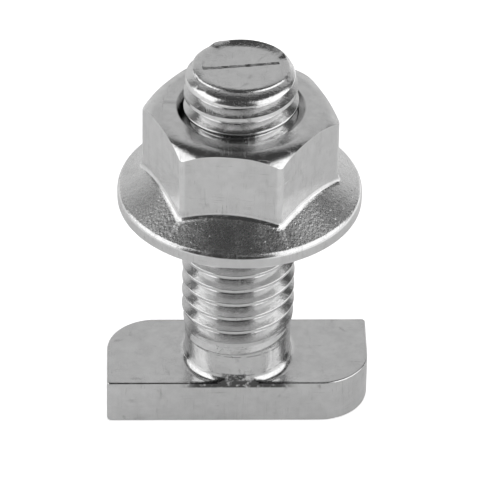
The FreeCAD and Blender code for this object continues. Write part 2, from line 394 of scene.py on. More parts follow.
class NodeBoard:
    """Short ways to add and wire the nodes of one tree."""

    def __init__(self, tree: bpy.types.NodeTree) -> None:
        """Work on a tree."""
        self.tree = tree

    def add(self, kind: str, feeds: dict[str | int, Given] | None = None,
            **settings: object) -> bpy.types.Node:
        """Add a node.

        Args:
            kind: Blender's name for the kind of node.
            feeds: What goes into its sockets, by name or number: other nodes' sockets or plain values.
            **settings: The node's own settings.

        Returns:
            The node.
        """
        node = self.tree.nodes.new(kind)
        for setting, chosen in settings.items():
            setattr(node, setting, chosen)
        for socket, given in (feeds or {}).items():
            self.feed(node.inputs[socket], given)
        return node

    def feed(self, socket: Socket, given: Given) -> None:
        """Link a socket to another one, or set it to a plain value.

        Args:
            socket: The input that is fed.
            given: Another node's output, or a value.
        """
        if isinstance(given, Socket):
            self.tree.links.new(given, socket)
        else:
            socket.default_value = given

    def reckon(self, operation: str, *operands: Given) -> Socket:
        """One step of arithmetic on numbers, by Blender's name for it."""
        return self.add("ShaderNodeMath", dict(enumerate(operands)), operation=operation).outputs[0]

    def product(self, *factors: Given) -> Given:
        """All the factors multiplied."""
        return reduce(lambda one, other: self.reckon("MULTIPLY", one, other), factors)

    def highest(self, *numbers: Given) -> Given:
        """The highest of the numbers."""
        return reduce(lambda one, other: self.reckon("MAXIMUM", one, other), numbers)

    def rest(self, share: Given) -> Socket:
        """What a share leaves of 1."""
        return self.reckon("SUBTRACT", 1.0, share)

    def apart(self, first: Given, second: Given) -> Socket:
        """How far apart two numbers are."""
        return self.reckon("ABSOLUTE", self.reckon("SUBTRACT", first, second))

    def weigh(self, share: Given, first: Given, second: Given) -> Socket:
        """A number that goes from first to second as share goes from 0 to 1."""
        return self.add("ShaderNodeMix", {0: share, 2: first, 3: second}).outputs[0]

    def fade(self, given: Given, start: Given, end: Given) -> Socket:
        """A smooth step from 0 at start to 1 at end."""
        feeds = {"Value": given, "From Min": start, "From Max": end}
        return self.add("ShaderNodeMapRange", feeds, interpolation_type="SMOOTHSTEP").outputs[0]

    def band(self, given: Given, rise: Ramp, fall: Ramp) -> Given:
        """A share that goes up over one range and down again over another."""
        return self.product(self.fade(given, *rise), self.rest(self.fade(given, *fall)))

    def stretch(self, position: Given, scale: Triple, turn: float = 0.0) -> Socket:
        """A position scaled by axis, after a turn about Z in degrees."""
        feeds = {"Vector": position, "Rotation": (0.0, 0.0, math.radians(turn)), "Scale": scale}
        return self.add("ShaderNodeMapping", feeds, vector_type="POINT").outputs[0]

    def noise(self, position: Given, scale: float, detail: float) -> Socket:
        """Cloudy noise between 0 and 1."""
        feeds = {"Vector": position, "Scale": scale, "Detail": detail}
        return self.add("ShaderNodeTexNoise", feeds).outputs[0]

    def shelter(self, reach: float, inside: bool) -> Socket:
        """How open the surface is within a reach in millimetres, looked at from outside or inside it."""
        feeds = {"Distance": reach * METRES_PER_MM}
        return self.add("ShaderNodeAmbientOcclusion", feeds, samples=6, only_local=True,
                        inside=inside).outputs["AO"]

    def spot(self) -> Spot:
        """Find where a point of the surface lies.

        Returns:
            Its place, from Object coordinates.
        """
        place = self.add("ShaderNodeTexCoord").outputs["Object"]
        position = self.add("ShaderNodeVectorMath", {0: place, "Scale": 1.0 / METRES_PER_MM},
                            operation="SCALE").outputs[0]
        x, y, height = self.add("ShaderNodeSeparateXYZ", {0: position}).outputs
        squares = self.reckon("ADD", self.product(x, x), self.product(y, y))
        return Spot(position, x, y, height, self.reckon("SQRT", squares))

    def inlets(self, **kinds: Inlet) -> dict[str, Socket]:
        """Give a group its named inputs.

        Args:
            **kinds: Kind of each input, by name.

        Returns:
            The inputs as sockets inside the group, by name.
        """
        for name, kind in kinds.items():
            self.tree.interface.new_socket(name, in_out="INPUT", socket_type=kind.value)
        return dict(zip(kinds, self.add("NodeGroupInput").outputs))

    def outlets(self, **given: Socket) -> bpy.types.NodeTree:
        """Give a group its named outputs, and wire them.

        Args:
            **given: What feeds each output, by name.

        Returns:
            The finished group.
        """
        for name in given:
            self.tree.interface.new_socket(name, in_out="OUTPUT", socket_type=Inlet.NUMBER.value)
        self.add("NodeGroupOutput", given)
        return self.tree

    def place(self, group: bpy.types.NodeTree, **feeds: Given) -> dict[str, Socket]:
        """Place a group with what feeds its inputs, and return its outputs by name."""
        outputs = self.add("ShaderNodeGroup", feeds, node_tree=group).outputs
        return {socket.name: socket for socket in outputs}


def start_group(name: str) -> NodeBoard:
    """Begin a shader node group."""
    return NodeBoard(bpy.data.node_groups.new(name, "ShaderNodeTree"))


# The two pieces


@dataclass(frozen=True)
class ThreadForm:
    """One pitch of a right-hand thread, and the height of its groove on the +X side."""

    crest_radius: float
    root_radius: float
    pitch: float = 1.5
    root_width: float = 0.25
    flank_angle: float = 30.0
    groove_height: float = 6.7
    crest_ease: float = 0.05
    root_ease: float = 0.11
    ease_segments: int = 3
    steps: int = 96

    def rod(self, name: str, low: float, high: float) -> bpy.types.Object:
        """Sweep the thread into a closed rod.

        Args:
            name: Name of the rod.
            low: Height of its lower end.
            high: Height of its upper end.

        Returns:
            The rod, cut square at both ends.
        """
        flank = (self.crest_radius - self.root_radius) * math.tan(math.radians(self.flank_angle))
        turns_below = math.ceil((self.groove_height - low) / self.pitch) + 1
        middle = self.groove_height - turns_below * self.pitch
        half_root = self.root_width / 2
        outline = [
            (self.crest_radius, middle - self.pitch / 2),
            (self.crest_radius, middle - half_root - flank),
            (self.root_radius, middle - half_root),
            (self.root_radius, middle + half_root),
            (self.crest_radius, middle + half_root + flank),
            (self.crest_radius, middle + self.pitch / 2),
        ]
        rod = trace_profile(name, outline)
        ease_profile(rod, (outline[1], outline[4]), self.crest_ease, self.ease_segments)
        ease_profile(rod, (outline[2], outline[3]), self.root_ease, self.ease_segments)
        turns = math.ceil((high - middle) / self.pitch) + 1
        apply_modifier(rod, "SCREW", axis="Z", angle=math.tau, screw_offset=self.pitch, iterations=turns,
                       steps=self.steps, render_steps=self.steps, use_merge_vertices=True,
                       merge_threshold=COIL_GAP)
        tidy_solid(rod)
        cut_level(rod, low, keep_above=True)
        cut_level(rod, high, keep_above=False)
        tidy_solid(rod)
        return rod


@dataclass(frozen=True)
class Push:
    """Part of the end's rim that rolling pushed up: azimuths in degrees from +X, rise and reach."""

    start: float
    end: float
    rise: float
    reach: float


@dataclass
class TBolt:
    """The bolt: hammer head, fillet, neck, rolled thread and domed end with its scored line.

    lip and shoulder give radius and drop below the highest point, from the end's face outwards.
    """

    head_length: float = 23.1
    head_width: float = 9.36
    head_height: float = 4.3
    turning_radius: float = 4.3
    corner_ease: float = 0.3
    head_top_ease: float = 0.16
    head_bottom_ease: float = 0.35
    length: float = 34.9
    neck_radius: float = 4.65
    neck_top: float = 7.1
    core_sink: float = 0.6
    core_steps: int = 96
    cone_dive: float = 0.15
    cone_dive_height: float = 0.25
    cone_tip: float = 1.0
    foot_fillet: float = 0.75
    foot_edge_ease: float = 0.3
    foot_inset: float = 0.015
    foot_margin: float = 0.05
    slab_length: float = 14.0
    slab_height: float = 12.0
    full_crest_height: float = 9.6
    runout_height: float = 2.0
    blank_bottom: float = 6.3
    blank_steps: int = 128
    crest_clearance: float = 0.02
    rod_bottom: float = 6.35
    rod_over: float = 0.4
    lead_in: float = 3.3
    lip: tuple[tuple[float, float], ...] = ((3.45, 0.26), (3.9, 0.28), (4.0, 0.34), (4.08, 0.44))
    shoulder: tuple[tuple[float, float], ...] = ((4.38, 0.56), (4.6, 0.74), (4.74, 1.0), (4.82, 1.6))
    lip_margin: float = 0.02
    face_drop: float = 0.26
    face_shift: float = 0.3
    face_stretch: Triple = (1.03, 0.94, 1.0)
    face_rings: tuple[float, ...] = (3.2, 3.0, 2.8, 2.6, 2.3, 0.0)
    rim_radius: float = 3.85
    rim_depth: float = 0.5
    pushes: tuple[Push, ...] = (Push(26.0, 122.0, 0.27, 0.7), Push(128.0, 180.0, 0.18, 1.9))
    mark_length: float = 6.7
    mark_offset: float = 0.3
    mark_width: float = 0.5
    mark_depth: float = 0.2
    mark_angle: float = 7.7
    mark_taper: Triple = (0.97, 0.4, 1.0)
    mark_cuts: int = 16
    mark_raggedness: float = 0.06
    mark_seed: int = 5
    sharp_angle: float = 34.0
    thread: ThreadForm = field(default_factory=lambda: ThreadForm(4.94, 4.08))

    def is_turning_corner(self, edge: bmesh.types.BMEdge) -> bool:
        """Whether an upright of the plain bar is one of the two that are rounded for turning."""
        return is_upright(edge) and edge.verts[0].co.x * edge.verts[0].co.y < 0.0

    def is_square_corner(self, edge: bmesh.types.BMEdge) -> bool:
        """Whether an upright of the bar is one of the two that stop the turn and stay nearly square."""
        return is_upright(edge) and not self.is_turning_corner(edge) and all(
            abs(vertex.co.x) > self.head_length / 2 - SIDE_GAP
            and abs(vertex.co.y) > self.head_width / 2 - SIDE_GAP for vertex in edge.verts)

    def is_foot_edge(self, edge: bmesh.types.BMEdge) -> bool:
        """Whether an edge lies where the foot is cut off along the head's sides."""
        return all(abs(abs(vertex.co.y) - (self.head_width / 2 - self.foot_inset)) < SIDE_GAP
                   and vertex.co.z > self.head_height - self.foot_margin for vertex in edge.verts)

    def head(self) -> bpy.types.Object:
        """Model the hammer head, with two opposite corners rounded for turning in the slot.

        Returns:
            The head.
        """
        bar = add_block("head", (0.0, 0.0, self.head_height / 2),
                        (self.head_length, self.head_width, self.head_height))
        bevel_edges(bar, self.is_turning_corner, self.turning_radius, segments=20)
        bevel_edges(bar, self.is_square_corner, self.corner_ease, segments=4)
        bevel_edges(bar, lambda edge: is_level(edge, self.head_height), self.head_top_ease, segments=3)
        bevel_edges(bar, lambda edge: is_level(edge, 0.0), self.head_bottom_ease, segments=3)
        return bar

    def core(self) -> bpy.types.Object:
        """Model foot fillet, neck and the cone on which the thread's root runs out.

        Returns:
            The core, whose foot is cut off along the head's sides.
        """
        foot_radius = self.neck_radius + self.foot_fillet
        base = self.head_height - self.core_sink
        inside = self.thread.root_radius - self.cone_dive
        cone_top = self.neck_top + self.runout_height
        outline = [(0.0, base), (foot_radius, base)]
        outline += arc_points((foot_radius, self.head_height + self.foot_fillet), self.foot_fillet,
                              start=270.0, end=180.0, count=9)
        outline += [
            (self.neck_radius, self.neck_top),
            (self.thread.root_radius, cone_top),
            (inside, cone_top + self.cone_dive_height),
            (inside, cone_top + self.cone_tip),
            (0.0, cone_top + self.cone_tip),
        ]
        core = trace_profile("core", outline)
        turn_profile(core, self.core_steps)
        slab = add_block("foot_slab", (0.0, 0.0, self.neck_top),
                         (self.slab_length, self.head_width - 2 * self.foot_inset, self.slab_height))
        combine(core, slab, Join.KEEP_COMMON)
        tidy_solid(core)
        bevel_edges(core, self.is_foot_edge, self.foot_edge_ease, segments=4)
        return core

    def blank(self) -> bpy.types.Object:
        """Model the envelope that limits the thread's crests: a slow taper below and a dome above.

        Returns:
            The envelope.
        """
        slope = (self.thread.crest_radius - self.neck_radius) / (self.full_crest_height - self.neck_top)
        face = self.length - self.face_drop
        outline = [
            (0.0, self.blank_bottom),
            (self.neck_radius - slope * (self.neck_top - self.blank_bottom), self.blank_bottom),
            (self.thread.crest_radius + self.crest_clearance,
             self.full_crest_height + self.crest_clearance / slope),
            (self.thread.crest_radius + self.crest_clearance, self.length - self.lead_in),
            *((radius, self.length - drop) for radius, drop in reversed(self.lip + self.shoulder)),
            *((radius, face) for radius in self.face_rings),
        ]
        blank = trace_profile("blank", outline)
        turn_profile(blank, self.blank_steps)
        lip_bottom = self.length - self.lip[-1][1] - self.lip_margin
        select_where(blank, Element.VERTEX, lambda vertex: vertex.co.z > lip_bottom)
        bpy.ops.transform.translate(value=(0.0, self.face_shift, 0.0))
        bpy.ops.transform.resize(value=self.face_stretch)
        bpy.ops.object.mode_set(mode="OBJECT")
        for push in self.pushes:
            self.push_rim(blank, push)
        cut_level(blank, self.length, keep_above=False)
        tidy_solid(blank)
        return blank

    def push_rim(self, blank: bpy.types.Object, push: Push) -> None:
        """Push part of the end's rim up, and the metal near it less and less, as rolling did.

        Args:
            blank: The envelope.
            push: Which part, how far up, and how far from it the metal still moves.
        """
        def on_rim(vertex: bmesh.types.BMVert) -> bool:
            """Whether a vertex belongs to the part of the rim that is pushed."""
            around = math.degrees(math.atan2(vertex.co.y, vertex.co.x)) % 360.0
            return (vertex.co.xy.length > self.rim_radius and vertex.co.z > self.length - self.rim_depth
                    and push.start < around < push.end)

        select_where(blank, Element.VERTEX, on_rim)
        bpy.ops.transform.translate(value=(0.0, 0.0, push.rise), use_proportional_edit=True,
                                    proportional_edit_falloff="SMOOTH", proportional_size=push.reach)
        bpy.ops.object.mode_set(mode="OBJECT")

    def mark(self) -> bpy.types.Object:
        """Model the tool that scores the line across the bolt's end.

        Returns:
            The tool: a blade that narrows downwards and has ragged edges.
        """
        tool = add_block("mark", (0.0, self.mark_offset, self.length - self.face_drop),
                         (self.mark_length, self.mark_width, 2 * self.mark_depth))
        select_where(tool, Element.FACE, lambda face: face.normal.z < LOOKS_DOWN)
        bpy.ops.transform.resize(value=self.mark_taper)
        select_where(tool, Element.EDGE,
                     lambda edge: abs(edge.verts[0].co.x - edge.verts[1].co.x) > self.mark_width)
        bpy.ops.mesh.subdivide(number_cuts=self.mark_cuts)
        bpy.ops.mesh.select_all(action="SELECT")
        bpy.ops.transform.vertex_random(offset=self.mark_raggedness, seed=self.mark_seed)
        bpy.ops.mesh.quads_convert_to_tris()
        bpy.ops.object.mode_set(mode="OBJECT")
        turn_about_z(tool, self.mark_angle)
        return tool

    def build(self) -> bpy.types.Object:
        """Model the whole bolt.

        Returns:
            The bolt as one closed mesh in metres.
        """
        bolt = self.thread.rod("t_bolt_plated", self.rod_bottom, self.length + self.rod_over)
        combine(bolt, self.blank(), Join.KEEP_COMMON)
        combine(bolt, self.core(), Join.ADD)
        combine(bolt, self.head(), Join.ADD)
        combine(bolt, self.mark(), Join.TAKE_OFF)
        finish_mesh(bolt, self.sharp_angle)
        return bolt


@dataclass
class FlangeNut:
    """The nut: crowned hexagon on a conical flange, with a threaded bore countersunk at both ends.

    crown_slope gives radius and drop below the nut's top, from the flat top outwards.
    """

    seat: float = 21.1
    turn: float = -7.56
    height: float = 9.6
    across_flats: float = 14.86
    hexagon_bottom: float = 0.5
    corner_ease: float = 0.3
    crown_radius: float = 6.6
    crown_bottom: float = -1.0
    crown_slope: tuple[tuple[float, float], ...] = (
        (6.6, 0.0), (6.9, 0.05), (7.25, 0.135), (7.55, 0.24), (7.75, 0.36), (8.0, 0.56), (8.3, 0.83),
        (8.6, 1.13))
    flange_radius: float = 10.6
    flange_angle: float = 32.0
    cone_top_radius: float = 5.0
    rim_height: float = 1.28
    rim_top_radius: float = 0.6
    rim_bottom_ease: float = 0.2
    steps: int = 144
    root_setback: float = 0.4
    root_limit_radius: float = 9.0
    root_levels: Ramp = (1.5, 5.0)
    side_lean: float = 0.05
    cone_lean: float = 0.03
    countersink_radius: float = 5.5
    countersink_depth: float = 2.0
    countersink_over: float = 0.2
    tap_over: float = 0.5
    sharp_angle: float = 32.0
    bore_thread: ThreadForm = field(
        default_factory=lambda: ThreadForm(5.04, 4.18, root_width=0.17, crest_ease=0.03))

    @property
    def corner_radius(self) -> float:
        """Distance from the nut's axis to a sharp corner of its hexagon."""
        return self.across_flats / 2 / math.cos(math.pi / 6)

    def hexagon(self) -> bpy.types.Object:
        """Model the wrench hexagon with eased corners, its top turned to the crown.

        Returns:
            The hexagon, which becomes the nut.
        """
        clear_selection()
        bpy.ops.mesh.primitive_cylinder_add(vertices=6, radius=self.corner_radius,
                                            depth=self.height - self.hexagon_bottom,
                                            location=(0.0, 0.0, (self.height + self.hexagon_bottom) / 2))
        nut = settle("flange_nut_plated")
        turn_about_z(nut, degrees=30.0)
        bevel_edges(nut, is_upright, self.corner_ease, segments=5)
        combine(nut, self.crown(), Join.KEEP_COMMON)
        return nut

    def crown(self) -> bpy.types.Object:
        """Model the turned envelope of the hexagon's top.

        Returns:
            The envelope.
        """
        outline = [(0.0, self.crown_bottom), (self.corner_radius, self.crown_bottom)]
        outline += [(radius, self.height - drop) for radius, drop in reversed(self.crown_slope)]
        outline.append((0.0, self.height))
        crown = trace_profile("crown", outline)
        turn_profile(crown, self.steps)
        return crown

    def flange(self) -> bpy.types.Object:
        """Model the conical flange with its rounded rim.

        Returns:
            The flange, without its bore.
        """
        slope = math.radians(self.flange_angle)
        cone_top = self.rim_height + (self.flange_radius - self.cone_top_radius) * math.tan(slope)
        rim = (self.flange_radius, self.rim_height)
        outline = [
            (0.0, 0.0),
            (self.flange_radius - self.rim_bottom_ease, 0.0),
            (self.flange_radius, self.rim_bottom_ease),
            rim,
            (self.cone_top_radius, cone_top),
            (0.0, cone_top),
        ]
        flange = trace_profile("flange", outline)
        rim_setback = self.rim_top_radius * math.tan((math.pi / 2 - slope) / 2)
        ease_profile(flange, (rim,), rim_setback, segments=6)
        turn_profile(flange, self.steps)
        return flange

    def countersink(self, mouth_height: float, upwards: bool) -> bpy.types.Object:
        """Model the tool for the cone at one end of the bore.

        Args:
            mouth_height: Height of the face that the cone opens on.
            upwards: Whether the cone opens upwards.

        Returns:
            The tool.
        """
        depth, over = self.countersink_depth, self.countersink_over
        narrow, wide = self.countersink_radius - depth, self.countersink_radius + over
        middle = mouth_height + (over - depth) / 2 * (1 if upwards else -1)
        clear_selection()
        bpy.ops.mesh.primitive_cone_add(vertices=96, radius1=narrow if upwards else wide,
                                        radius2=wide if upwards else narrow, depth=depth + over,
                                        location=(0.0, 0.0, middle))
        return settle("countersink")

    def is_root(self, edge: bmesh.types.BMEdge) -> bool:
        """Whether an edge is one along which a side of the hexagon stands on the flange's cone.

        Args:
            edge: An edge of the nut before its bore is cut.

        Returns:
            True where an upright face meets one with the cone's slope.
        """
        if len(edge.link_faces) != 2:
            return False
        side, cone = sorted(abs(face.normal.z) for face in edge.link_faces)
        tilt = math.cos(math.radians(self.flange_angle))
        lowest, highest = self.root_levels
        at = edge.verts[0].co
        return (side < self.side_lean and abs(cone - tilt) < self.cone_lean
                and at.xy.length < self.root_limit_radius and lowest < at.z < highest)

    def build(self) -> bpy.types.Object:
        """Model the whole nut.

        Returns:
            The nut as one closed mesh in metres, at its place on the bolt.
        """
        nut = self.hexagon()
        combine(nut, self.flange(), Join.ADD)
        rounded = bevel_edges(nut, self.is_root, self.root_setback, segments=4)
        LOG.info("root fillet runs along %d edges", rounded)
        turn_about_z(nut, self.turn)
        nut.data.transform(Matrix.Translation((0.0, 0.0, self.seat)))
        top = self.seat + self.height
        tap = self.bore_thread.rod("tap", self.seat - self.tap_over, top + self.tap_over)
        combine(nut, tap, Join.TAKE_OFF)
        combine(nut, self.countersink(self.seat, upwards=False), Join.TAKE_OFF)
        combine(nut, self.countersink(top, upwards=True), Join.TAKE_OFF)
        finish_mesh(nut, self.sharp_angle)
        return nut


# Finishes


@dataclass(frozen=True)
class Stroke:
    """Scratches of one direction: how fast they change along each axis, after a turn in degrees."""

    scale: Triple
    turn: float


@dataclass(frozen=True)
class Patterns:
    """The node groups that both platings use. Their Position input is in millimetres."""

    grain: bpy.types.NodeTree
    scratches: bpy.types.NodeTree
    specks: bpy.types.NodeTree


def grain_group() -> bpy.types.NodeTree:
    """Make fine grain and slow cloudiness of the plating.

    Returns:
        A group with outputs Grain and Cloud.
    """
    board = start_group("plate_grain")
    given = board.inlets(Position=Inlet.VECTOR)
    fine = board.noise(given["Position"], scale=6.0, detail=4.0)
    cloud = board.noise(given["Position"], scale=0.55, detail=3.0)
    return board.outlets(Grain=fine, Cloud=cloud)


def scratch_group() -> bpy.types.NodeTree:
    """Make hairline scratches in four directions, each broken into short strokes.

    Returns:
        A group with the output Scratch, and an input for the strokes' width.
    """
    board = start_group("hair_scratches")
    given = board.inlets(Position=Inlet.VECTOR, Width=Inlet.NUMBER)
    strokes = (
        Stroke((7.0, 7.0, 0.12), 0.0),
        Stroke((0.1, 0.1, 8.0), 20.0),
        Stroke((8.0, 0.12, 0.12), 24.0),
        Stroke((0.12, 7.0, 0.12), 67.0),
    )
    shown = []
    for stroke in strokes:
        along = board.stretch(given["Position"], stroke.scale, stroke.turn)
        lines = board.noise(along, scale=1.0, detail=1.0)
        on_line = board.rest(board.fade(board.apart(lines, 0.5), start=0.0, end=given["Width"]))
        # A slow noise of its own lets each direction show only here and there.
        own_place = board.stretch(given["Position"], (1.0, 1.0, 1.0), stroke.turn * 3.0)
        gate = board.fade(board.noise(own_place, scale=0.7, detail=2.0), start=0.5, end=0.62)
        shown.append(board.product(on_line, gate))
    return board.outlets(Scratch=board.highest(*shown))


def speck_group() -> bpy.types.NodeTree:
    """Make small round specks, with one in some cells of the pattern and none in most.

    Returns:
        A group with the output Speck, and inputs for scale and share of cells.
    """
    board = start_group("plate_specks")
    given = board.inlets(Position=Inlet.VECTOR, Scale=Inlet.NUMBER, Share=Inlet.NUMBER)
    cells = board.add("ShaderNodeTexVoronoi", {"Vector": given["Position"], "Scale": given["Scale"]})
    chance = board.add("ShaderNodeSeparateXYZ", {0: cells.outputs["Color"]}).outputs[0]
    has_speck = board.fade(chance, start=board.rest(given["Share"]), end=1.0)
    dot = board.rest(board.fade(cells.outputs["Distance"], start=0.1, end=0.32))
    return board.outlets(Speck=board.product(dot, has_speck))


@dataclass(frozen=True)
class ZincPlate:
    """Bright zinc plate on steel, rougher where the steel was worked.

    tone is the share of light thrown back, and the other tones are factors on it. Reaches and depths
    are in millimetres, and the heights of the relief are shares of relief_depth. Sharp edges have one
    tone below the height edge_split and another above it, partly wear and partly painted light: a painted
    highlight, and on the bolt's head a painted dark reflection line. Creases get painted shade.
    """

    patterns: Patterns
    name: str = "zinc_plate"
    tone: float = 0.68
    cloud_tones: Ramp = (0.9, 1.1)
    mottle_tones: Ramp = (0.975, 1.03)
    mottle_scale: float = 1.3
    mottle_split: Ramp = (0.36, 0.64)
    scratch_tone: float = 0.8
    scratch_width: float = 0.016
    # Edge tones, partly wear and partly painted light: a painted highlight on sharp edges.
    low_edge_wear_and_painted_light_tone: float = 1.12
    high_edge_wear_and_painted_light_tone: float = 1.12
    edge_split: float = 0.0
    edge_split_blur: Ramp = (-0.1, 0.1)
    edge_reach: float = 0.45
    edge_openness: Ramp = (0.3, 0.8)
    # Painted shade: tone factor where the surface is closed in, in creases, thread roots and recesses.
    painted_crease_shade_tone: float = 0.62
    crease_shade_reach: float = 1.9
    crease_shade_openness: Ramp = (0.1, 0.75)
    # Tone of the darkening: painted shade in the bore and on the foot's front, and the neck's rings.
    darkening_tone: float = 0.16
    grain_roughness: Ramp = (0.11, 0.21)
    worked_roughness: float = 0.11
    scratch_roughness: float = 0.12
    relief_depth: float = 0.05
    grain_relief: float = 0.055
    coarse_scale: float = 3.6
    coarse_relief: Ramp = (0.03, 0.55)
    scratch_relief: Ramp = (0.06, 0.04)
    speck_scale: float = 2.6
    speck_share: float = 0.4
    speck_relief: Ramp = (0.0, 0.4)

    def worked(self, board: NodeBoard, spot: Spot) -> Given:
        """How far the steel under the plating is rough, from 0 to 1."""
        return 0.0

    def darkening(self, board: NodeBoard, spot: Spot) -> Given:
        """How far the surface is darkened, from 0 to 1: painted shade in the nut's bore and on the front of
        the bolt's foot, and darker rings on the neck.
        """
        return 0.0

    def wear_and_sheen(self, board: NodeBoard, spot: Spot) -> Given:
        """How far the surface is brightened besides its sharp edges, by wear and a painted highlight, from
        0 to 1.
        """
        return 0.0

    def shade(self, board: NodeBoard, spot: Spot, cloud: Given, scratch: Given) -> Given:
        """Work out the plating's tone.

        Args:
            board: The material's nodes.
            spot: Where the point lies.
            cloud: The cloudiness.
            scratch: How far the point is scratched.

        Returns:
            The tone, from 0 to 1.
        """
        # Painted shade: where little is open round the surface within a short reach, as in thread roots,
        # fillets and the bore, the tone is darkened.
        outside = board.shelter(self.crease_shade_reach, inside=False)
        painted_crease_shade = board.rest(board.fade(outside, *self.crease_shade_openness))
        # Sharp edges get a tone that is partly wear and partly painted light: a painted highlight on most
        # edges, and on the bolt a painted dark reflection line on the edges below edge_split.
        within = board.shelter(self.edge_reach, inside=True)
        sharp = board.rest(board.fade(within, *self.edge_openness))
        edge = board.highest(sharp, self.wear_and_sheen(board, spot))
        is_high = board.fade(spot.height, *moved(self.edge_split_blur, self.edge_split))
        edge_wear_and_painted_light_tone = board.weigh(is_high, self.low_edge_wear_and_painted_light_tone, self.high_edge_wear_and_painted_light_tone)
        mottle = board.fade(board.noise(spot.position, self.mottle_scale, detail=8.0), *self.mottle_split)
        return board.product(
            board.weigh(cloud, *(self.tone * factor for factor in self.cloud_tones)),
            board.weigh(mottle, *self.mottle_tones),
            board.weigh(scratch, 1.0, self.scratch_tone),
            board.weigh(edge, 1.0, edge_wear_and_painted_light_tone),
            board.weigh(painted_crease_shade, 1.0, self.painted_crease_shade_tone),
            # Painted shade: the darkening of the bore and of the foot's front.
            board.weigh(self.darkening(board, spot), 1.0, self.darkening_tone),
        )

    def dullness(self, board: NodeBoard, worked: Given, grain: Given, scratch: Given) -> Given:
        """Work out the plating's roughness.

        Args:
            board: The material's nodes.
            worked: How far the steel is rough.
            grain: The fine grain.
            scratch: How far the point is scratched.

        Returns:
            The roughness.
        """
        smooth = board.weigh(grain, *self.grain_roughness)
        handled = board.reckon("ADD", smooth, board.product(worked, self.worked_roughness))
        return board.reckon("ADD", handled, board.product(scratch, self.scratch_roughness))

    def relief(self, board: NodeBoard, spot: Spot, worked: Given, grain: Given, scratch: Given) -> Socket:
        """Work out the plating's fine relief.

        Args:
            board: The material's nodes.
            spot: Where the point lies.
            worked: How far the steel is rough.
            grain: The fine grain.
            scratch: How far the point is scratched.

        Returns:
            The normal of a bump.
        """
        speck = board.place(self.patterns.specks, Position=spot.position, Scale=self.speck_scale,
                            Share=self.speck_share)["Speck"]
        coarse = board.product(board.noise(spot.position, self.coarse_scale, detail=4.0),
                               board.weigh(worked, *self.coarse_relief))
        height = board.reckon("ADD", board.product(grain, self.grain_relief), coarse)
        height = board.reckon("SUBTRACT", height,
                              board.product(scratch, board.weigh(worked, *self.scratch_relief)))
        height = board.reckon("ADD", height, board.product(speck, board.weigh(worked, *self.speck_relief)))
        return board.add("ShaderNodeBump", {"Height": height, "Strength": 1.0,
                                            "Distance": self.relief_depth * METRES_PER_MM}).outputs[0]

    def material(self) -> bpy.types.Material:
        """Make the material.

        Returns:
            A material whose pattern follows Object coordinates.
        """
        material = bpy.data.materials.new(self.name)
        material.use_nodes = True
        board = NodeBoard(material.node_tree)
        shader = material.node_tree.nodes["Principled BSDF"].inputs
        shader["Metallic"].default_value = 1.0
        spot = board.spot()
        grain = board.place(self.patterns.grain, Position=spot.position)
        scratch = board.place(self.patterns.scratches, Position=spot.position,
                              Width=self.scratch_width)["Scratch"]
        worked = self.worked(board, spot)
        tone = self.shade(board, spot, grain["Cloud"], scratch)
        grey = board.add("ShaderNodeCombineXYZ", {0: tone, 1: tone, 2: tone}).outputs[0]
        board.feed(shader["Base Color"], grey)
        board.feed(shader["Roughness"], self.dullness(board, worked, grain["Grain"], scratch))
        board.feed(shader["Normal"], self.relief(board, spot, worked, grain["Grain"], scratch))
        return material


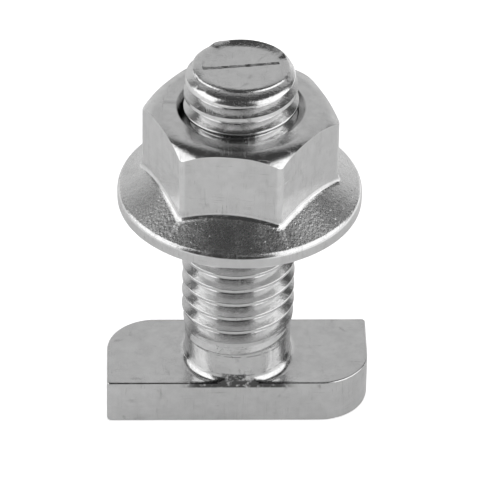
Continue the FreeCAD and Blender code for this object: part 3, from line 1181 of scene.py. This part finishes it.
@dataclass(frozen=True)
class BoltPlate(ZincPlate):
    """The bolt's plating: rough round its end, on the run-out and at the foot of the neck.

    A field that ends in _above or _below gives the heights over which something begins or ends. Those
    of the end and the rim are counted from the bolt's highest point.
    """

    name: str = "bolt_plate"
    # Painted dark reflection line along the head's edges below edge_split, and a slight painted highlight
    # on the edges above, partly wear.
    low_edge_wear_and_painted_light_tone: float = 0.72
    high_edge_wear_and_painted_light_tone: float = 1.05
    edge_split: float = 4.6
    end: float = 34.9
    shank_side: Ramp = (5.0, 5.6)
    shank_above: Ramp = (4.5, 5.0)
    end_above: Ramp = (-0.6, -0.4)
    end_side: Ramp = (2.9, 3.3)
    rim_above: Ramp = (-0.9, -0.5)
    run_out_above: Ramp = (6.6, 7.4)
    run_out_below: Ramp = (8.6, 10.0)
    neck_above: Ramp = (5.1, 5.6)
    neck_below: Ramp = (6.8, 7.2)
    thread_and_forged: Ramp = (0.3, 0.75)
    front_side: Ramp = (-4.55, -4.3)
    foot_side: Ramp = (3.6, 5.3)
    foot_above: Ramp = (3.72, 3.9)
    foot_below: Ramp = (4.45, 4.7)
    block_middle: float = -0.75
    block_side: Ramp = (1.4, 1.5)
    block_above: Ramp = (4.3, 4.45)
    block_below: Ramp = (5.15, 5.3)
    ring_heights: tuple[float, ...] = (5.08, 7.12)
    ring_side: Ramp = (0.02, 0.1)
    ring_strength: float = 0.6

    def worked(self, board: NodeBoard, spot: Spot) -> Given:
        """Leave the head and the flat of the end smooth, and make the rest of the shank rough.

        Args:
            board: The material's nodes.
            spot: Where the point lies.

        Returns:
            The share of roughness: less on the thread than on run-out, rim and neck.
        """
        end_flat = board.product(board.fade(spot.height, *moved(self.end_above, self.end)),
                                 board.rest(board.fade(spot.across, *self.end_side)))
        shank = board.product(board.rest(board.fade(spot.across, *self.shank_side)),
                              board.fade(spot.height, *self.shank_above), board.rest(end_flat))
        forged = board.highest(board.band(spot.height, self.run_out_above, self.run_out_below),
                               board.fade(spot.height, *moved(self.rim_above, self.end)),
                               board.band(spot.height, self.neck_above, self.neck_below))
        return board.product(shank, board.weigh(forged, *self.thread_and_forged))

    def darkening(self, board: NodeBoard, spot: Spot) -> Given:
        """Darken the front of the foot in patches of painted shade, and ragged rings at the ends of the
        neck.

        Args:
            board: The material's nodes.
            spot: Where the point lies.

        Returns:
            The share of darkness.
        """
        patches = board.fade(board.noise(spot.position, scale=1.9, detail=4.0), start=0.3, end=0.5)
        flecks = board.fade(board.noise(spot.position, scale=4.0, detail=2.0), start=0.2, end=0.6)
        ragged = board.fade(board.noise(spot.position, scale=1.3, detail=1.0), start=0.4, end=0.6)
        foot_sides = board.rest(board.fade(board.reckon("ABSOLUTE", spot.x), *self.foot_side))
        foot = board.product(board.band(spot.height, self.foot_above, self.foot_below), foot_sides, patches)
        block_sides = board.rest(board.fade(board.apart(spot.x, self.block_middle), *self.block_side))
        block = board.product(board.band(spot.height, self.block_above, self.block_below), block_sides,
                              flecks)
        # Painted shade on the front of the foot.
        front = board.product(board.rest(board.fade(spot.y, *self.front_side)), board.highest(foot, block))
        rings = [board.product(board.rest(board.fade(board.apart(spot.height, level), *self.ring_side)),
                               ragged, self.ring_strength) for level in self.ring_heights]
        return board.highest(front, *rings)


@dataclass(frozen=True)
class NutPlate(ZincPlate):
    """The nut's plating: rough on the cone, worn and given a painted highlight along the hexagon's corners,
    and given painted shade in the bore.

    A field that ends in _above gives the heights over which something begins, counted from the rim's
    top for the cone, from the nut's top for the crown and from its seat for the hexagon.
    """

    name: str = "nut_plate"
    # Painted highlight on the nut's edges, partly wear.
    low_edge_wear_and_painted_light_tone: float = 1.3
    high_edge_wear_and_painted_light_tone: float = 1.3
    nut: FlangeNut = field(default_factory=FlangeNut)
    cone_skin: Ramp = (0.01, 0.07)
    cone_above: Ramp = (-0.1, 0.2)
    crown_above: Ramp = (-1.2, -0.9)
    crown_side: Ramp = (-0.1, 0.1)
    crown_share: float = 0.1
    hexagon_above: Ramp = (3.2, 3.6)
    corner_side: Ramp = (-0.24, -0.12)
    corner_wear_and_sheen_share: float = 0.5
    bore_side: Ramp = (5.4, 5.65)
    bore_shade_share: float = 0.6

    def worked(self, board: NodeBoard, spot: Spot) -> Given:
        """Make the cone between hexagon and rim rough, and the crown a little.

        Args:
            board: The material's nodes.
            spot: Where the point lies.

        Returns:
            The share of roughness.
        """
        rim_top = self.nut.seat + self.nut.rim_height
        top = self.nut.seat + self.nut.height
        rise = board.product(board.reckon("SUBTRACT", self.nut.flange_radius, spot.across),
                             math.tan(math.radians(self.nut.flange_angle)))
        above_cone = board.reckon("SUBTRACT", spot.height, board.reckon("ADD", rise, rim_top))
        cone = board.product(board.rest(board.fade(above_cone, *self.cone_skin)),
                             board.fade(spot.height, *moved(self.cone_above, rim_top)))
        crown = board.product(board.fade(spot.height, *moved(self.crown_above, top)),
                              board.fade(spot.across, *moved(self.crown_side, self.nut.crown_radius)))
        return board.highest(cone, board.product(crown, self.crown_share))

    def wear_and_sheen(self, board: NodeBoard, spot: Spot) -> Given:
        """Brighten the hexagon's upright corners: partly rubbed wear, partly a painted highlight.

        Args:
            board: The material's nodes.
            spot: Where the point lies.

        Returns:
            The share of brightness.
        """
        on_hexagon = board.fade(spot.height, *moved(self.hexagon_above, self.nut.seat))
        at_corner = board.fade(spot.across, *moved(self.corner_side, self.nut.corner_radius))
        # Painted highlight, partly wear, on the rounded corners.
        return board.product(on_hexagon, at_corner, self.corner_wear_and_sheen_share)

    def darkening(self, board: NodeBoard, spot: Spot) -> Given:
        """Painted shade in the bore and its countersinks."""
        # Painted shade in the bore and its countersinks.
        return board.product(board.rest(board.fade(spot.across, *self.bore_side)), self.bore_shade_share)


# Studio


@dataclass(frozen=True)
class Panel:
    """One flat soft panel of the light tent, placed by angles in degrees as seen from the object."""

    facing: float
    start: float
    end: float
    low: float
    high: float
    brightness: float
    softness: float = 5.0


@dataclass(frozen=True)
class Studio:
    """A pale floor in a light tent that is dark overhead and on the camera's side, and the camera.

    Its lengths are in metres and its angles in degrees. The floor's own light differs between what the
    camera sees and what the metal reflects, where it grows with distance and towards the sides.
    """

    camera_distance: float = 0.418
    focal_pixels: float = 4792.0
    frame_pixels: float = 480.0
    elevation: float = 36.35
    roll: float = -0.91
    turn: float = 1.74
    aim: Triple = (0.0001, 0.0, 0.01649)
    floor_size: float = 6.0
    floor_tone: float = 0.8
    camera_floor_light: float = 0.7
    near_floor_light: float = 0.1
    far_floor_light: float = 0.7
    floor_distance: Ramp = (0.05, 0.11)
    floor_side: Ramp = (0.2, 0.6)
    left_floor_share: float = 0.5
    lamp_height: float = 0.9
    lamp_size: float = 0.9
    lamp_energy: float = 1.9
    dark: float = 0.055
    panels: tuple[Panel, ...] = (
        Panel(facing=90.0, start=40.0, end=140.0, low=-10.0, high=57.0, brightness=0.53, softness=8.0),
        Panel(facing=90.0, start=40.0, end=140.0, low=-10.0, high=24.0, brightness=0.14, softness=16.0),
        Panel(facing=207.0, start=155.0, end=217.0, low=1.0, high=54.0, brightness=1.5),
        Panel(facing=-35.0, start=-59.0, end=17.0, low=1.0, high=57.0, brightness=1.5),
    )

    def place_camera(self) -> None:
        """Put the camera at the photograph's viewing angle."""
        elevation, roll = math.radians(self.elevation), math.radians(self.roll)
        spin = Matrix.Rotation(-math.radians(self.turn), 3, "Z")
        back = spin @ Vector((0.0, -math.cos(elevation), math.sin(elevation)))
        right = spin @ Vector((1.0, 0.0, 0.0))
        up = back.cross(right)
        across = math.cos(roll) * right - math.sin(roll) * up
        above = math.sin(roll) * right + math.cos(roll) * up
        pose = Matrix((across, above, back)).transposed().to_4x4()
        pose.translation = spin @ Vector(self.aim) + back * self.camera_distance
        clear_selection()
        bpy.ops.object.camera_add()
        camera = bpy.context.active_object
        camera.name = "camera"
        camera.matrix_world = pose
        camera.data.sensor_width = SENSOR_WIDTH
        camera.data.lens = self.focal_pixels / self.frame_pixels * SENSOR_WIDTH
        bpy.context.scene.camera = camera

    def lay_floor(self) -> None:
        """Lay the pale floor under the object."""
        clear_selection()
        bpy.ops.mesh.primitive_plane_add(size=self.floor_size)
        floor = adopt("floor")
        material = bpy.data.materials.new("floor_paper")
        material.use_nodes = True
        board = NodeBoard(material.node_tree)
        shader = material.node_tree.nodes["Principled BSDF"].inputs
        shader["Base Color"].default_value = (self.floor_tone, self.floor_tone, self.floor_tone, 1.0)
        shader["Roughness"].default_value = 1.0
        shader["Specular IOR Level"].default_value = 0.0
        shader["Emission Color"].default_value = (1.0, 1.0, 1.0, 1.0)
        place = board.add("ShaderNodeTexCoord").outputs["Object"]
        away = board.add("ShaderNodeVectorMath", {0: place}, operation="LENGTH").outputs["Value"]
        sideways = board.reckon("DIVIDE", board.add("ShaderNodeSeparateXYZ", {0: place}).outputs[0], away)
        left = board.fade(board.product(sideways, -1.0), *self.floor_side)
        beside = board.reckon("ADD", board.fade(sideways, *self.floor_side),
                              board.product(left, self.left_floor_share))
        reflected = board.weigh(board.product(board.fade(away, *self.floor_distance), beside),
                                self.near_floor_light, self.far_floor_light)
        seen = board.add("ShaderNodeLightPath").outputs["Is Camera Ray"]
        board.feed(shader["Emission Strength"], board.weigh(seen, reflected, self.camera_floor_light))
        floor.data.materials.append(material)

    def panel_group(self) -> bpy.types.NodeTree:
        """Make the node group that gives one panel's brightness in a direction.

        Returns:
            A group with the output Light.
        """
        board = start_group("soft_panel")
        numbers = ("Facing", "Middle", "Half_width", "Low", "High", "Softness", "Brightness")
        given = board.inlets(Direction=Inlet.VECTOR, **{name: Inlet.NUMBER for name in numbers})
        start = board.product(given["Softness"], -0.5)
        end = board.product(given["Softness"], 0.5)
        x, y, z = board.add("ShaderNodeSeparateXYZ", {0: given["Direction"]}).outputs
        azimuth = board.reckon("DEGREES", board.reckon("ARCTAN2", y, x))
        # Heights are measured in the panel's own plane, so its upper and lower edges are straight.
        off_axis = board.reckon("RADIANS", board.reckon("SUBTRACT", azimuth, given["Facing"]))
        level = board.product(board.reckon("SQRT", board.rest(board.product(z, z))),
                              board.reckon("COSINE", off_axis))
        elevation = board.reckon("DEGREES", board.reckon("ARCTAN2", z, level))
        away = board.reckon("WRAP", board.reckon("SUBTRACT", azimuth, given["Middle"]), 180.0, -180.0)
        gaps = (
            board.reckon("SUBTRACT", given["Half_width"], board.reckon("ABSOLUTE", away)),
            board.reckon("SUBTRACT", elevation, given["Low"]),
            board.reckon("SUBTRACT", given["High"], elevation),
        )
        shape = [board.fade(gap, start, end) for gap in gaps]
        return board.outlets(Light=board.product(*shape, given["Brightness"]))

    def hang_tent(self) -> None:
        """Surround the object with the tent, and light the floor from above."""
        scene = bpy.context.scene
        scene.view_settings.view_transform = "Standard"
        scene.world = bpy.data.worlds.new("tent")
        scene.world.use_nodes = True
        board = NodeBoard(scene.world.node_tree)
        direction = board.add("ShaderNodeTexCoord").outputs["Generated"]
        group = self.panel_group()
        total = self.dark
        for panel in self.panels:
            middle, half_width = (panel.start + panel.end) / 2, (panel.end - panel.start) / 2
            light = board.place(group, Direction=direction, Facing=panel.facing, Middle=middle,
                                Half_width=half_width, Low=panel.low, High=panel.high,
                                Softness=panel.softness, Brightness=panel.brightness)["Light"]
            total = board.reckon("ADD", light, total)
        board.feed(scene.world.node_tree.nodes["Background"].inputs["Color"], total)
        clear_selection()
        bpy.ops.object.light_add(type="AREA", location=(0.0, 0.0, self.lamp_height))
        lamp = bpy.context.active_object
        lamp.name = "floor_light"
        lamp.data.shape = "DISK"
        lamp.data.size = self.lamp_size
        lamp.data.energy = self.lamp_energy
        lamp.visible_glossy = False


def dress(piece: bpy.types.Object, material: bpy.types.Material) -> None:
    """Give the whole piece one material.

    Args:
        piece: The piece.
        material: Its finish.
    """
    piece.data.materials.clear()
    piece.data.materials.append(material)
    for face in piece.data.polygons:
        face.material_index = 0


def main() -> None:
    """Build the object and its studio, and report each piece."""
    logging.basicConfig(level=logging.INFO, format="%(name)s: %(message)s")
    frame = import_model()
    LOG.info("frame holds %s", ", ".join(sorted(frame["nodes"])))
    patterns = Patterns(grain_group(), scratch_group(), speck_group())

    bolt = TBolt().build()
    dress(bolt, BoltPlate(patterns).material())
    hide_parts("t_bolt")
    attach(bolt, "bolt")

    nut = FlangeNut().build()
    dress(nut, NutPlate(patterns).material())
    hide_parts("flange_nut")
    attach(nut, "nut")

    for piece in (bolt, nut):
        mesh = piece.data
        LOG.info("%s: %d vertices, %d faces", piece.name, len(mesh.vertices), len(mesh.polygons))

    studio = Studio()
    studio.place_camera()
    studio.lay_floor()
    studio.hang_tent()


if __name__ == "__main__":
    main()
